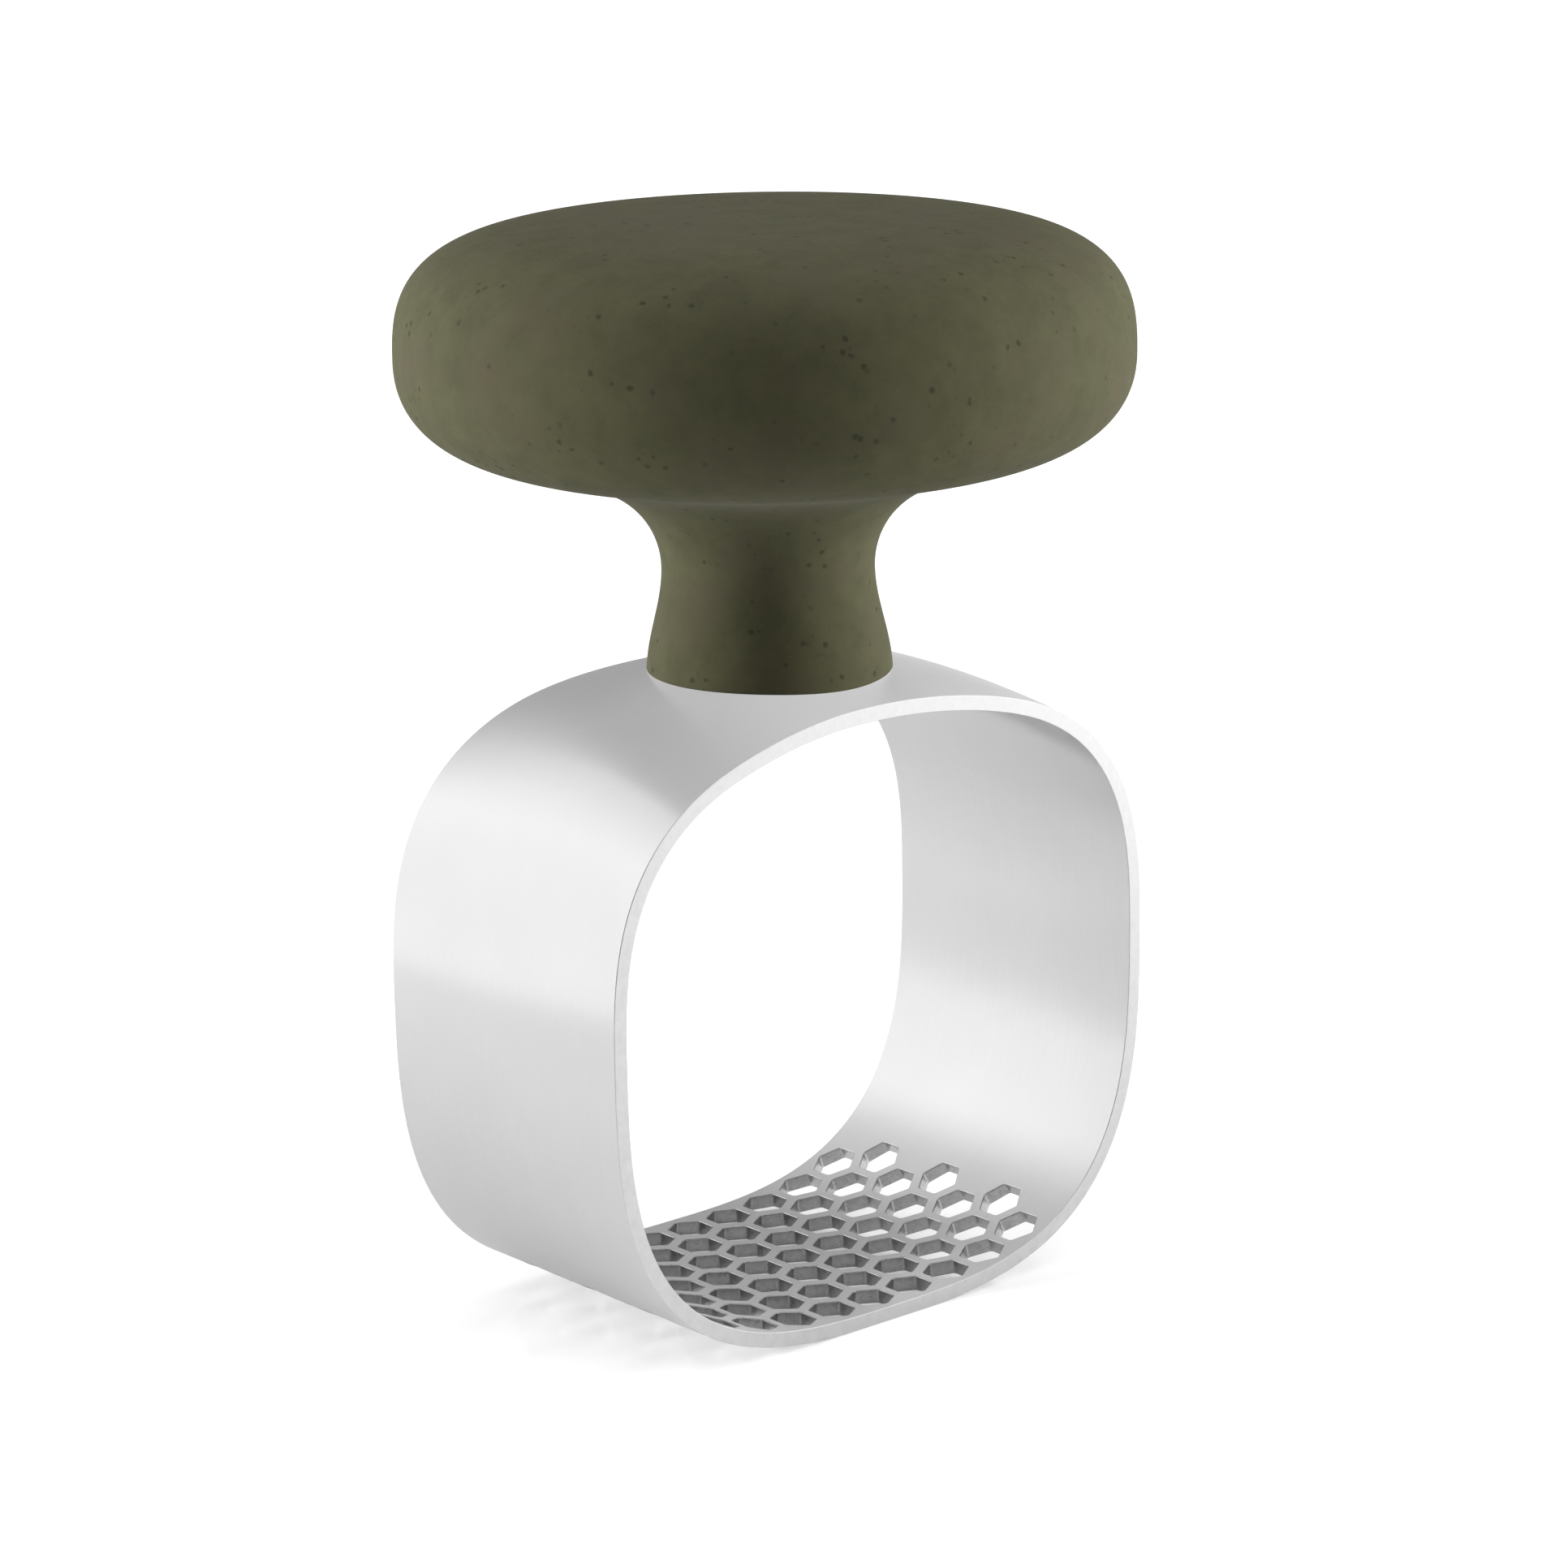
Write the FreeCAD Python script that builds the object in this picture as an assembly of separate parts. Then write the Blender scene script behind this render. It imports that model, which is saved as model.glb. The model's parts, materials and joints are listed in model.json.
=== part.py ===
"""Rocking garlic press: a bent steel band with a honeycomb base, and a round palm knob on a neck.

The band is one strip of sheet steel bent into a closed, rounded-square loop. Its base is punched with
hexagonal holes. The user sets the base on a clove, presses the knob with the palm and rocks the loop,
so nothing in the press moves against anything else.

Frame, in millimetres: the origin is in the middle of the flat base, +Z is up along the knob's axis,
+X runs across the loop's opening, and Y runs through it. Each piece is written to parts/NODE.step.
"""
import FreeCAD, Part
import math
import os
from FreeCAD import Vector

# ---- Band: section across X and Z ----------------------------------------------------------------
BAND_HALF_WIDTH = 38.3          # centre to the outside of either side
BAND_DEPTH = 38.3               # width of the strip, along Y
SHEET = 1.7                     # thickness of the steel
WIDEST_HEIGHT = 37.7            # the sides stand furthest apart here
RIM_RISE = 31.2                 # from the widest level up to the top of either rim
CROWN_RISE = 2.75               # how far the middle of the top stands above the rims
LOWER_SQUARENESS = 2.95         # superellipse exponents: 2 is an ellipse, more is squarer
RIM_SQUARENESS = 2.74
CROWN_SQUARENESS = 2.51
BASE_FLAT_DEPTH = 0.08          # pressed flat underneath by this much, so that the press stands still
RIM_DRAW_IN = 1.45              # the domed top pulls each rim inwards by this much
RIM_DRAW_HALF_WIDTH = 21.8      # the pull fades out at this X

# ---- Band: honeycomb in the base -----------------------------------------------------------------
HOLE_ACROSS_FLATS = 4.55
HOLE_PITCH = 5.72               # along the strip, between holes of one row
ROW_PITCH = 5.18                # across the strip, between rows
ROWS_EACH_SIDE = 3              # rows on each side of the middle one
HOLES_IN_LONG_ROW = 10

# ---- Handle: outside -----------------------------------------------------------------------------
KNOB_RADIUS = 40.05
KNOB_WIDEST_HEIGHT = 105.5
KNOB_RISE = 14.5                # from the widest level up to the top
KNOB_DROP = 12.3                # and down to the underside
KNOB_RIM_POWER = 5.0            # how square the knob is in plan distance from its axis
KNOB_TOP_POWER = 2.78           # and in height, above the widest level
KNOB_UNDERSIDE_POWER = 2.19     # and below it
WAIST_RADIUS = 11.65            # thinnest place of the neck
WAIST_DROP = 11.15              # the waist is this far below the knob's underside
FLARE_WIDTH = 17.9              # the neck flares over this width into the underside
FLARE_POWER = 0.544             # how quickly it leaves the waist
FOOT_RADIUS = 13.5
FOOT_HEIGHT = 70.1              # level where the neck would reach its full foot radius

# ---- Handle: inside ------------------------------------------------------------------------------
SKIN = 2.2                      # outer moulding over the core
CORE_WALL = 2.5
RIB_COUNT = 6
RIB_THICKNESS = 1.8
LOWER_RIB_TOP = 103.0
UPPER_RIB_BOTTOM = 110.5
RIB_INNER_RADIUS = 6.0
LIP_HEIGHT = 2.0                # the upper core's locating lip, inside the lower core
LIP_THICKNESS = 1.5
LIP_CLEARANCE = 0.5
NECK_POCKET_RADIUS = 5.0
NECK_POCKET_FLOOR = 84.0

# ---- Fastening -----------------------------------------------------------------------------------
SCREW_X = 5.5                   # the two screws stand at plus and minus this X
SCREW_RADIUS = 2.0
SCREW_HOLE_RADIUS = 2.2
SCREW_TOP = 79.5
SCREW_CHAMFER = 0.4             # at the screw's tip
HEAD_RADIUS = 3.8
HEAD_HEIGHT = 2.2
HEAD_ROUNDING = 1.76
SOCKET_ACROSS_FLATS = 2.5
SOCKET_DEPTH = 1.2
WASHER_BOTTOM = 68.6            # the screw heads bear on this level
WASHER_RADIUS = 4.3
INSERT_RADIUS = 2.9
INSERT_BOTTOM = 72.0
INSERT_LENGTH = 8.0
INSERT_GROOVE_WIDTH = 1.6
INSERT_GROOVE_DEPTH = 0.4
INSERT_POCKET_DEPTH = 8.6       # from the insert's bottom, so the screw's tip has room

# ---- How the curves are drawn --------------------------------------------------------------------
SECTION_POINTS = 96             # points on one closed section of the band
SECTION_CROWDING = 0.17         # how strongly they crowd towards its top, base and sides
SECTION_STATIONS = 9            # sections along Y in the band's loft
RIM_POINTS = 13                 # points on one drawn-in stretch of a rim
LINE_STEPS = 600                # steps along the unrolled quarter of the strip
LINE_START = 0.02               # section angle up to which the base is level
PROFILE_POINTS = 24             # points on each curve of the handle's outline
OVERRUN = 1.5                   # bodies that get trimmed first run this far past their trimmed ends
CUT_CLEARANCE = 5.0             # bodies that do the trimming reach this far past the piece

AXIS_Z = Vector(0, 0, 1)
ORIGIN = Vector(0, 0, 0)


def signed_power(value, power):
    """Power that keeps the sign."""
    return math.copysign(abs(value) ** power, value)


# ---- Band ----------------------------------------------------------------------------------------
def section_point(angle, y):
    """Point (x, z) of the band's outer section at depth y. Angle 0 is the base, pi / 2 is +X."""
    doming = 1.0 - (2.0 * y / BAND_DEPTH) ** 2
    across = math.sin(angle)
    upward = -math.cos(angle)
    if upward > 0:
        semi_height = RIM_RISE + CROWN_RISE * doming
        squareness = RIM_SQUARENESS + (CROWN_SQUARENESS - RIM_SQUARENESS) * doming
    else:
        semi_height = WIDEST_HEIGHT + BASE_FLAT_DEPTH
        squareness = LOWER_SQUARENESS
    x = BAND_HALF_WIDTH * signed_power(across, 2.0 / squareness)
    z = WIDEST_HEIGHT + semi_height * signed_power(upward, 2.0 / squareness)
    return x, z


def offset_section_point(angle, y, inset):
    """The section's point moved inwards by inset, square to the section."""
    step = 1e-4
    x, z = section_point(angle, y)
    x_before, z_before = section_point(angle - step, y)
    x_after, z_after = section_point(angle + step, y)
    along_x = x_after - x_before
    along_z = z_after - z_before
    length = math.hypot(along_x, along_z)
    return x - inset * along_z / length, z + inset * along_x / length


def section_angles():
    """Angles round the section, closer together where the superellipse turns quickly."""
    angles = []
    for index in range(SECTION_POINTS):
        even = 2.0 * math.pi * (index + 0.5) / SECTION_POINTS
        angles.append(even - SECTION_CROWDING * math.sin(4.0 * even))
    return angles


def section_wire(y, inset):
    points = []
    for angle in section_angles():
        x, z = offset_section_point(angle, y, inset)
        points.append(Vector(x, y, z))
    curve = Part.BSplineCurve()
    curve.interpolate(points, PeriodicFlag=True)
    return Part.Wire([curve.toShape()])


def band_loft(inset):
    """Solid inside the band's surface, moved inwards by inset and longer than the band."""
    half = BAND_DEPTH / 2.0 + OVERRUN
    wires = []
    for index in range(SECTION_STATIONS):
        y = half * (2.0 * index / (SECTION_STATIONS - 1) - 1.0)
        wires.append(section_wire(y, inset))
    return Part.makeLoft(wires, True, False)


def rim_y(x):
    """Half the strip's width over the top, where the crown draws the rims in."""
    share = min(abs(x) / RIM_DRAW_HALF_WIDTH, 1.0)
    return BAND_DEPTH / 2.0 - RIM_DRAW_IN * math.cos(0.5 * math.pi * share) ** 2


def drawn_rim_edge(side):
    """The drawn-in stretch of one rim, seen from above, from -X to +X."""
    points = []
    for index in range(RIM_POINTS):
        x = RIM_DRAW_HALF_WIDTH * (2.0 * index / (RIM_POINTS - 1) - 1.0)
        points.append(Vector(x, side * rim_y(x), WIDEST_HEIGHT))
    curve = Part.BSplineCurve()
    curve.interpolate(points, InitialTangent=Vector(1, 0, 0), FinalTangent=Vector(1, 0, 0))
    return curve.toShape()


def strip_outline_prism():
    """Everything between the two rims: straight below, drawn in over the top."""
    reach = BAND_HALF_WIDTH + CUT_CLEARANCE
    half = BAND_DEPTH / 2.0
    draw = RIM_DRAW_HALF_WIDTH
    level = WIDEST_HEIGHT
    edges = [drawn_rim_edge(-1.0), drawn_rim_edge(1.0)]
    for side in (-1.0, 1.0):
        for end in (-1.0, 1.0):
            inner = Vector(end * draw, side * half, level)
            outer = Vector(end * reach, side * half, level)
            edges.append(Part.makeLine(inner, outer))
    for end in (-1.0, 1.0):
        edges.append(Part.makeLine(Vector(end * reach, -half, level), Vector(end * reach, half, level)))
    outline = Part.Wire(Part.__sortEdges__(edges))
    upper = Part.Face(outline).extrude(Vector(0, 0, RIM_RISE + CROWN_RISE + CUT_CLEARANCE))
    lower = Part.makeBox(2.0 * reach, BAND_DEPTH, level, Vector(-reach, -half, 0.0))
    return upper.fuse(lower).removeSplitter()


def neutral_line():
    """Fine steps along the middle of the sheet, from its level start up to its widest: (length, x, z)."""
    x, z = offset_section_point(LINE_START, 0.0, SHEET / 2.0)
    line = [(x, x, z)]
    for index in range(1, LINE_STEPS + 1):
        angle = LINE_START + (0.5 * math.pi - LINE_START) * index / LINE_STEPS
        x, z = offset_section_point(angle, 0.0, SHEET / 2.0)
        length, last_x, last_z = line[-1]
        line.append((length + math.hypot(x - last_x, z - last_z), x, z))
    return line


def place_along_strip(line, distance):
    """Point and slope of the sheet's middle at a signed distance along the strip."""
    target = abs(distance)
    if target <= line[0][0]:
        return Vector(distance, 0, SHEET / 2.0), 0.0
    index = 1
    while line[index][0] < target:
        index += 1
    before = line[index - 1]
    after = line[index]
    share = (target - before[0]) / (after[0] - before[0])
    x = before[1] + share * (after[1] - before[1])
    z = before[2] + share * (after[2] - before[2])
    slope = math.atan2(after[2] - before[2], after[1] - before[1])
    return Vector(math.copysign(x, distance), 0, z), math.copysign(slope, distance)


def hexagon_prism(across_flats, height, point_towards_y):
    """Prism along Z, centred on the origin, with two corners on the Y axis or on the X axis."""
    corner_radius = across_flats / math.sqrt(3.0)
    first = 90.0 if point_towards_y else 0.0
    corners = []
    for index in range(7):
        angle = math.radians(first + 60.0 * index)
        corners.append(Vector(corner_radius * math.cos(angle), corner_radius * math.sin(angle), 0))
    face = Part.Face(Part.makePolygon(corners))
    face.translate(Vector(0, 0, -height / 2.0))
    return face.extrude(Vector(0, 0, height))


def honeycomb_cutters():
    """One hexagonal punch per hole, each square to the sheet, in staggered rows."""
    line = neutral_line()
    punch_length = 2.0 * (SHEET + OVERRUN)
    cutters = []
    for row in range(-ROWS_EACH_SIDE, ROWS_EACH_SIDE + 1):
        holes = HOLES_IN_LONG_ROW - (row % 2)
        for index in range(holes):
            distance = HOLE_PITCH * (index - (holes - 1) / 2.0)
            place, slope = place_along_strip(line, distance)
            punch = hexagon_prism(HOLE_ACROSS_FLATS, punch_length, True)
            punch.rotate(ORIGIN, Vector(0, 1, 0), -math.degrees(slope))
            punch.translate(place + Vector(0, row * ROW_PITCH, 0))
            cutters.append(punch)
    return cutters


def screw_places():
    return [Vector(-SCREW_X, 0, 0), Vector(SCREW_X, 0, 0)]


def press_band(outer, inner):
    """The bent strip, trimmed to its rims, with its honeycomb and its two screw holes."""
    band = outer.cut(inner).common(strip_outline_prism())
    cutters = honeycomb_cutters()
    for place in screw_places():
        base = place + Vector(0, 0, WASHER_BOTTOM - OVERRUN)
        cutters.append(Part.makeCylinder(SCREW_HOLE_RADIUS, 2.0 * CUT_CLEARANCE, base, AXIS_Z))
    return band.cut(cutters)


# ---- Handle --------------------------------------------------------------------------------------
def underside_height(radius, inset):
    """Level of the knob's underside at a distance from the axis, moved inwards by inset."""
    share = min(radius / (KNOB_RADIUS - inset), 1.0)
    drop = KNOB_DROP - inset
    return KNOB_WIDEST_HEIGHT - drop * (1.0 - share ** KNOB_RIM_POWER) ** (1.0 / KNOB_UNDERSIDE_POWER)


def waist_height():
    return underside_height(WAIST_RADIUS, 0.0) - WAIST_DROP


def flare_points(inset):
    """Where the neck flares from the waist into the underside, as (radius, height)."""
    waist = WAIST_RADIUS - inset
    drop = underside_height(waist, inset) - waist_height()
    points = []
    for index in range(PROFILE_POINTS + 1):
        share = (index / PROFILE_POINTS) ** 2
        radius = waist + FLARE_WIDTH * share
        height = underside_height(radius, inset) - drop * (1.0 - share ** FLARE_POWER) ** 2
        points.append(Vector(radius, 0, height))
    return points


def foot_points(inset, bottom):
    """The neck from the given bottom level up to the waist."""
    top = waist_height()
    points = []
    for index in range(PROFILE_POINTS // 2 + 1):
        height = bottom + (top - bottom) * index / (PROFILE_POINTS // 2)
        share = min((top - height) / (top - FOOT_HEIGHT), 1.0)
        spread = (FOOT_RADIUS - WAIST_RADIUS) * (1.0 - math.cos(math.pi * share)) / 2.0
        points.append(Vector(WAIST_RADIUS - inset + spread, 0, height))
    return points


def knob_side_points(inset, start_radius, upper):
    """Quarter of the knob's outline between start_radius and the widest level."""
    semi_height = KNOB_RISE - inset if upper else KNOB_DROP - inset
    power = KNOB_TOP_POWER if upper else KNOB_UNDERSIDE_POWER
    rim = KNOB_RADIUS - inset
    height_share = (1.0 - (start_radius / rim) ** KNOB_RIM_POWER) ** (1.0 / power)
    start_angle = math.asin(height_share ** (power / 2.0))
    points = []
    for index in range(PROFILE_POINTS + 1):
        angle = start_angle * (1.0 - index / PROFILE_POINTS)
        radius = rim * math.cos(angle) ** (2.0 / KNOB_RIM_POWER)
        rise = semi_height * math.sin(angle) ** (2.0 / power)
        height = KNOB_WIDEST_HEIGHT + rise if upper else KNOB_WIDEST_HEIGHT - rise
        points.append(Vector(radius, 0, height))
    return points


def spline_edge(points):
    curve = Part.BSplineCurve()
    curve.interpolate(points)
    return curve.toShape()


def half_section(edges):
    """Planar face on the +X side of the axis, closed by the given edges."""
    return Part.Face(Part.Wire(Part.__sortEdges__(edges)))


def revolved(section):
    solid = section.revolve(ORIGIN, AXIS_Z, 360.0)
    return solid if solid.Volume > 0 else solid.reversed()


def handle_section(inset, bottom):
    """Half section of the whole handle, moved inwards by inset, from the given level up."""
    flare = flare_points(inset)
    foot = foot_points(inset, bottom)
    lower = knob_side_points(inset, flare[-1].x, False)
    upper = knob_side_points(inset, 0.0, True)
    upper.reverse()
    outline = foot + flare[1:] + lower[1:] + upper[1:-1]
    top = Vector(0, 0, KNOB_WIDEST_HEIGHT + KNOB_RISE - inset)
    base = Vector(0, 0, bottom)
    outside = spline_edge(outline + [top])
    return half_section([outside, Part.makeLine(top, base), Part.makeLine(base, outline[0])])


def cavity_section():
    """Half section of the hollow inside the core's wall."""
    inset = SKIN + CORE_WALL
    lower = knob_side_points(inset, 0.0, False)
    upper = knob_side_points(inset, 0.0, True)
    upper.reverse()
    return half_section([spline_edge(lower), spline_edge(upper), Part.makeLine(upper[-1], lower[0])])


def rectangle_section(radius, bottom, top):
    """Half section of a cylinder about the axis."""
    corners = [Vector(0, 0, bottom), Vector(radius, 0, bottom), Vector(radius, 0, top), Vector(0, 0, top)]
    return Part.Face(Part.makePolygon(corners + corners[:1]))


def rib_star(bottom, top):
    """Radial ribs between two levels, open at the middle."""
    ribs = None
    for index in range(RIB_COUNT):
        rib = Part.makeBox(KNOB_RADIUS, RIB_THICKNESS, top - bottom, Vector(0, -RIB_THICKNESS / 2.0, bottom))
        rib.rotate(ORIGIN, AXIS_Z, 360.0 * (index + 0.5) / RIB_COUNT)
        ribs = rib if ribs is None else ribs.fuse(rib)
    middle = Part.makeCylinder(RIB_INNER_RADIUS, top - bottom, Vector(0, 0, bottom), AXIS_Z)
    return ribs.cut(middle)


def grip_skin(outer):
    """Seamless outer moulding, open underneath, seated on the band's crown."""
    body = handle_section(0.0, FOOT_HEIGHT - OVERRUN)
    inside = handle_section(SKIN, FOOT_HEIGHT - 2.0 * OVERRUN)
    return revolved(body.cut(inside)).cut(outer)


def core_section():
    """Half section of both halves of the core, with the knob's cavity and the neck's pocket taken out."""
    body = handle_section(SKIN, FOOT_HEIGHT - OVERRUN)
    pocket = rectangle_section(NECK_POCKET_RADIUS, NECK_POCKET_FLOOR, KNOB_WIDEST_HEIGHT)
    return body.cut(cavity_section()).cut(pocket)


def core_lower(outer):
    """Bowl with the neck, radial ribs and the two pockets for the inserts."""
    below = rectangle_section(2.0 * KNOB_RADIUS, 0.0, KNOB_WIDEST_HEIGHT)
    shell = revolved(core_section().common(below))
    floor = KNOB_WIDEST_HEIGHT - KNOB_DROP
    ribs = rib_star(floor, LOWER_RIB_TOP).common(revolved(cavity_section()))
    solid = shell.fuse(ribs).cut(outer)
    for place in screw_places():
        mouth = place + Vector(0, 0, FOOT_HEIGHT - OVERRUN)
        length = INSERT_BOTTOM - mouth.z + INSERT_POCKET_DEPTH
        solid = solid.cut(Part.makeCylinder(INSERT_RADIUS, length, mouth, AXIS_Z))
    return solid.removeSplitter()


def core_upper():
    """Cap of the core, with ribs under the palm and a lip that sits inside the bowl."""
    top = KNOB_WIDEST_HEIGHT + KNOB_RISE
    above = rectangle_section(2.0 * KNOB_RADIUS, KNOB_WIDEST_HEIGHT, top)
    lip_outer = KNOB_RADIUS - SKIN - CORE_WALL - LIP_CLEARANCE
    lip_bottom = KNOB_WIDEST_HEIGHT - LIP_HEIGHT
    tie_bottom = KNOB_WIDEST_HEIGHT + LIP_HEIGHT
    tie_top = tie_bottom + LIP_HEIGHT
    lip = rectangle_section(lip_outer, lip_bottom, tie_top)
    tie = rectangle_section(2.0 * KNOB_RADIUS, tie_bottom, tie_top).common(cavity_section())
    hollow = rectangle_section(lip_outer - LIP_THICKNESS, lip_bottom - OVERRUN, tie_top + OVERRUN)
    section = core_section().common(above).fuse(lip.fuse(tie).cut(hollow))
    shell = revolved(section.removeSplitter())
    ribs = rib_star(UPPER_RIB_BOTTOM, top).common(revolved(cavity_section()))
    return shell.fuse(ribs).removeSplitter()


# ---- Fastening -----------------------------------------------------------------------------------
def threaded_insert(place):
    """Brass bush with a groove round its middle, bored for the screw."""
    base = place + Vector(0, 0, INSERT_BOTTOM)
    bush = Part.makeCylinder(INSERT_RADIUS, INSERT_LENGTH, base, AXIS_Z)
    groove_base = base + Vector(0, 0, (INSERT_LENGTH - INSERT_GROOVE_WIDTH) / 2.0)
    groove = Part.makeCylinder(INSERT_RADIUS + OVERRUN, INSERT_GROOVE_WIDTH, groove_base, AXIS_Z)
    neck = Part.makeCylinder(INSERT_RADIUS - INSERT_GROOVE_DEPTH, INSERT_GROOVE_WIDTH, groove_base, AXIS_Z)
    bore = Part.makeCylinder(SCREW_RADIUS, INSERT_LENGTH, base, AXIS_Z)
    return bush.cut(groove.cut(neck)).cut(bore)


def band_screw(place):
    """Button-head screw, its head inside the loop and its hexagon socket facing down."""
    bearing = place + Vector(0, 0, WASHER_BOTTOM)
    shank = Part.makeCylinder(SCREW_RADIUS, SCREW_TOP - WASHER_BOTTOM, bearing, AXIS_Z)
    shank = shank.makeChamfer(SCREW_CHAMFER, [top_edge(shank)])
    head = Part.makeCylinder(HEAD_RADIUS, HEAD_HEIGHT, bearing - Vector(0, 0, HEAD_HEIGHT), AXIS_Z)
    head = head.makeFillet(HEAD_ROUNDING, [bottom_edge(head)])
    socket = hexagon_prism(SOCKET_ACROSS_FLATS, SOCKET_DEPTH, True)
    socket.translate(bearing + Vector(0, 0, SOCKET_DEPTH / 2.0 - HEAD_HEIGHT))
    return shank.fuse(head).cut(socket)


def top_edge(cylinder):
    """The circle round the upper end of a cylinder."""
    circles = [edge for edge in cylinder.Edges if edge.isClosed()]
    return max(circles, key=lambda edge: edge.CenterOfMass.z)


def bottom_edge(cylinder):
    circles = [edge for edge in cylinder.Edges if edge.isClosed()]
    return min(circles, key=lambda edge: edge.CenterOfMass.z)


def sealing_washer(place, inner):
    """Soft washer between a screw head and the domed sheet, shaped to the dome by its clamping."""
    base = place + Vector(0, 0, WASHER_BOTTOM)
    ring = Part.makeCylinder(WASHER_RADIUS, CUT_CLEARANCE, base, AXIS_Z)
    hole = Part.makeCylinder(SCREW_RADIUS, CUT_CLEARANCE, base, AXIS_Z)
    return ring.cut(hole).common(inner)


def group(maker, *extra):
    """The same fastener at both screw places."""
    return Part.makeCompound([maker(place, *extra) for place in screw_places()])


def main():
    outer = band_loft(0.0)
    inner = band_loft(SHEET)
    nodes = {
        "press_band": press_band(outer, inner),
        "grip_skin": grip_skin(outer),
        "core_lower": core_lower(outer),
        "core_upper": core_upper(),
        "threaded_inserts": group(threaded_insert),
        "band_screws": group(band_screw),
        "sealing_washers": group(sealing_washer, inner),
    }
    os.makedirs("parts", exist_ok=True)
    for name, shape in nodes.items():
        shape.exportStep("parts/" + name + ".step")
        box = shape.BoundBox
        size = "%.2f %.2f %.2f" % (box.XLength, box.YLength, box.ZLength)
        print(name, "solids", len(shape.Solids), "valid", shape.isValid(), "volume %.1f" % shape.Volume,
              "size", size, "z %.2f to %.2f" % (box.ZMin, box.ZMax))


main()
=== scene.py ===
"""Looks of the rocking garlic press: brushed steel loop with a honeycomb base, speckled olive knob.

Metres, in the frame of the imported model: the origin is in the middle of the flat base, +Z up, +X across
the loop's opening, +Y straight through it. Overall sizes are read from the frame. The curves between
them repeat the driving dimensions of the part.
"""

import json
import math

import bmesh
import bpy
from mathutils import Matrix, Vector
from mathutils.geometry import delaunay_2d_cdt

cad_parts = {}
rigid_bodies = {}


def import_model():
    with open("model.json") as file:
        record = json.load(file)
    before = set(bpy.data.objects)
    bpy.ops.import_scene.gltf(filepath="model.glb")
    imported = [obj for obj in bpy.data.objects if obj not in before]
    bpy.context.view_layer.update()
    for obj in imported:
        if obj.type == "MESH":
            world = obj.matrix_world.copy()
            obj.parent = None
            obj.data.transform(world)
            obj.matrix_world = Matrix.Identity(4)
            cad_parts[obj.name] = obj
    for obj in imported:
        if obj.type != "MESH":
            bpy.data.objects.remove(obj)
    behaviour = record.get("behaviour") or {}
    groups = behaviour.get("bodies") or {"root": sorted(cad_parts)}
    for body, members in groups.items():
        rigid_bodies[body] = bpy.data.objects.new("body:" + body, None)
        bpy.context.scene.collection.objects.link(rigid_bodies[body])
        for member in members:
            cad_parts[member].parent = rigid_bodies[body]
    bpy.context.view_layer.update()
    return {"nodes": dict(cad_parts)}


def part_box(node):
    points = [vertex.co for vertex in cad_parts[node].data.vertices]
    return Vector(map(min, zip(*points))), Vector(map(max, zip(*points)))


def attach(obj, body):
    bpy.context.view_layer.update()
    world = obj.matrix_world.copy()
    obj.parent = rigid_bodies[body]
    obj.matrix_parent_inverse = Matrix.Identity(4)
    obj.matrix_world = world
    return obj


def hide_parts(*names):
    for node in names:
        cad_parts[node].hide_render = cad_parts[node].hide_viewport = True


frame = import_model()

MM = 0.001
MM_PER_METRE = 1000.0

# ---- Sizes ---------------------------------------------------------------------------------------
BAND_LOW, BAND_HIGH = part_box("press_band")
SKIN_LOW, SKIN_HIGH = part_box("grip_skin")
SEAL_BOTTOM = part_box("sealing_washers")[0][2]
SCREW_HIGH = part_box("band_screws")[1]

BAND_HALF_WIDTH = (BAND_HIGH[0] - BAND_LOW[0]) / 2
BAND_HALF_DEPTH = (BAND_HIGH[1] - BAND_LOW[1]) / 2
SHEET = 1.7 * MM
WIDEST_HEIGHT = 37.7 * MM
RIM_RISE = 31.2 * MM
CROWN_RISE = BAND_HIGH[2] - WIDEST_HEIGHT - RIM_RISE
LOWER_SQUARENESS = 2.95
RIM_SQUARENESS = 2.74
CROWN_SQUARENESS = 2.51
BASE_FLAT_DEPTH = 0.08 * MM
RIM_DRAW_IN = 1.45 * MM
RIM_DRAW_HALF_WIDTH = 21.8 * MM
RIM_ROUNDING = 0.08 * MM

HOLE_ACROSS_FLATS = 4.55 * MM
HOLE_PITCH = 5.72 * MM
ROW_PITCH = 5.18 * MM
ROWS_EACH_SIDE = 3
HOLES_IN_LONG_ROW = 10
HOLE_CORNER_ROUNDING = 0.45 * MM
HOLE_EDGE_ROUNDING = 0.12 * MM
PANEL_MARGIN = 2.2 * MM             # plain sheet beyond the last holes, still part of the pierced panel

KNOB_RADIUS = min(SKIN_HIGH[0] - SKIN_LOW[0], SKIN_HIGH[1] - SKIN_LOW[1]) / 2
KNOB_WIDEST_HEIGHT = 105.5 * MM
KNOB_RISE = SKIN_HIGH[2] - KNOB_WIDEST_HEIGHT
KNOB_DROP = 12.3 * MM
KNOB_RIM_POWER = 5.0
KNOB_TOP_POWER = 2.78
KNOB_UNDERSIDE_POWER = 2.19
WAIST_RADIUS = 11.65 * MM
WAIST_DROP = 11.15 * MM
FLARE_WIDTH = 17.9 * MM
FLARE_POWER = 0.544
FOOT_RADIUS = 13.5 * MM
FOOT_HEIGHT = 70.1 * MM
FIRST_RING_RISE = 1.6 * MM          # the lowest level ring is this far above FOOT_HEIGHT, clear of the crown
FOOT_EDGE_ROUNDING = 0.2 * MM
SKIN_THICKNESS = 2.2 * MM

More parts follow.
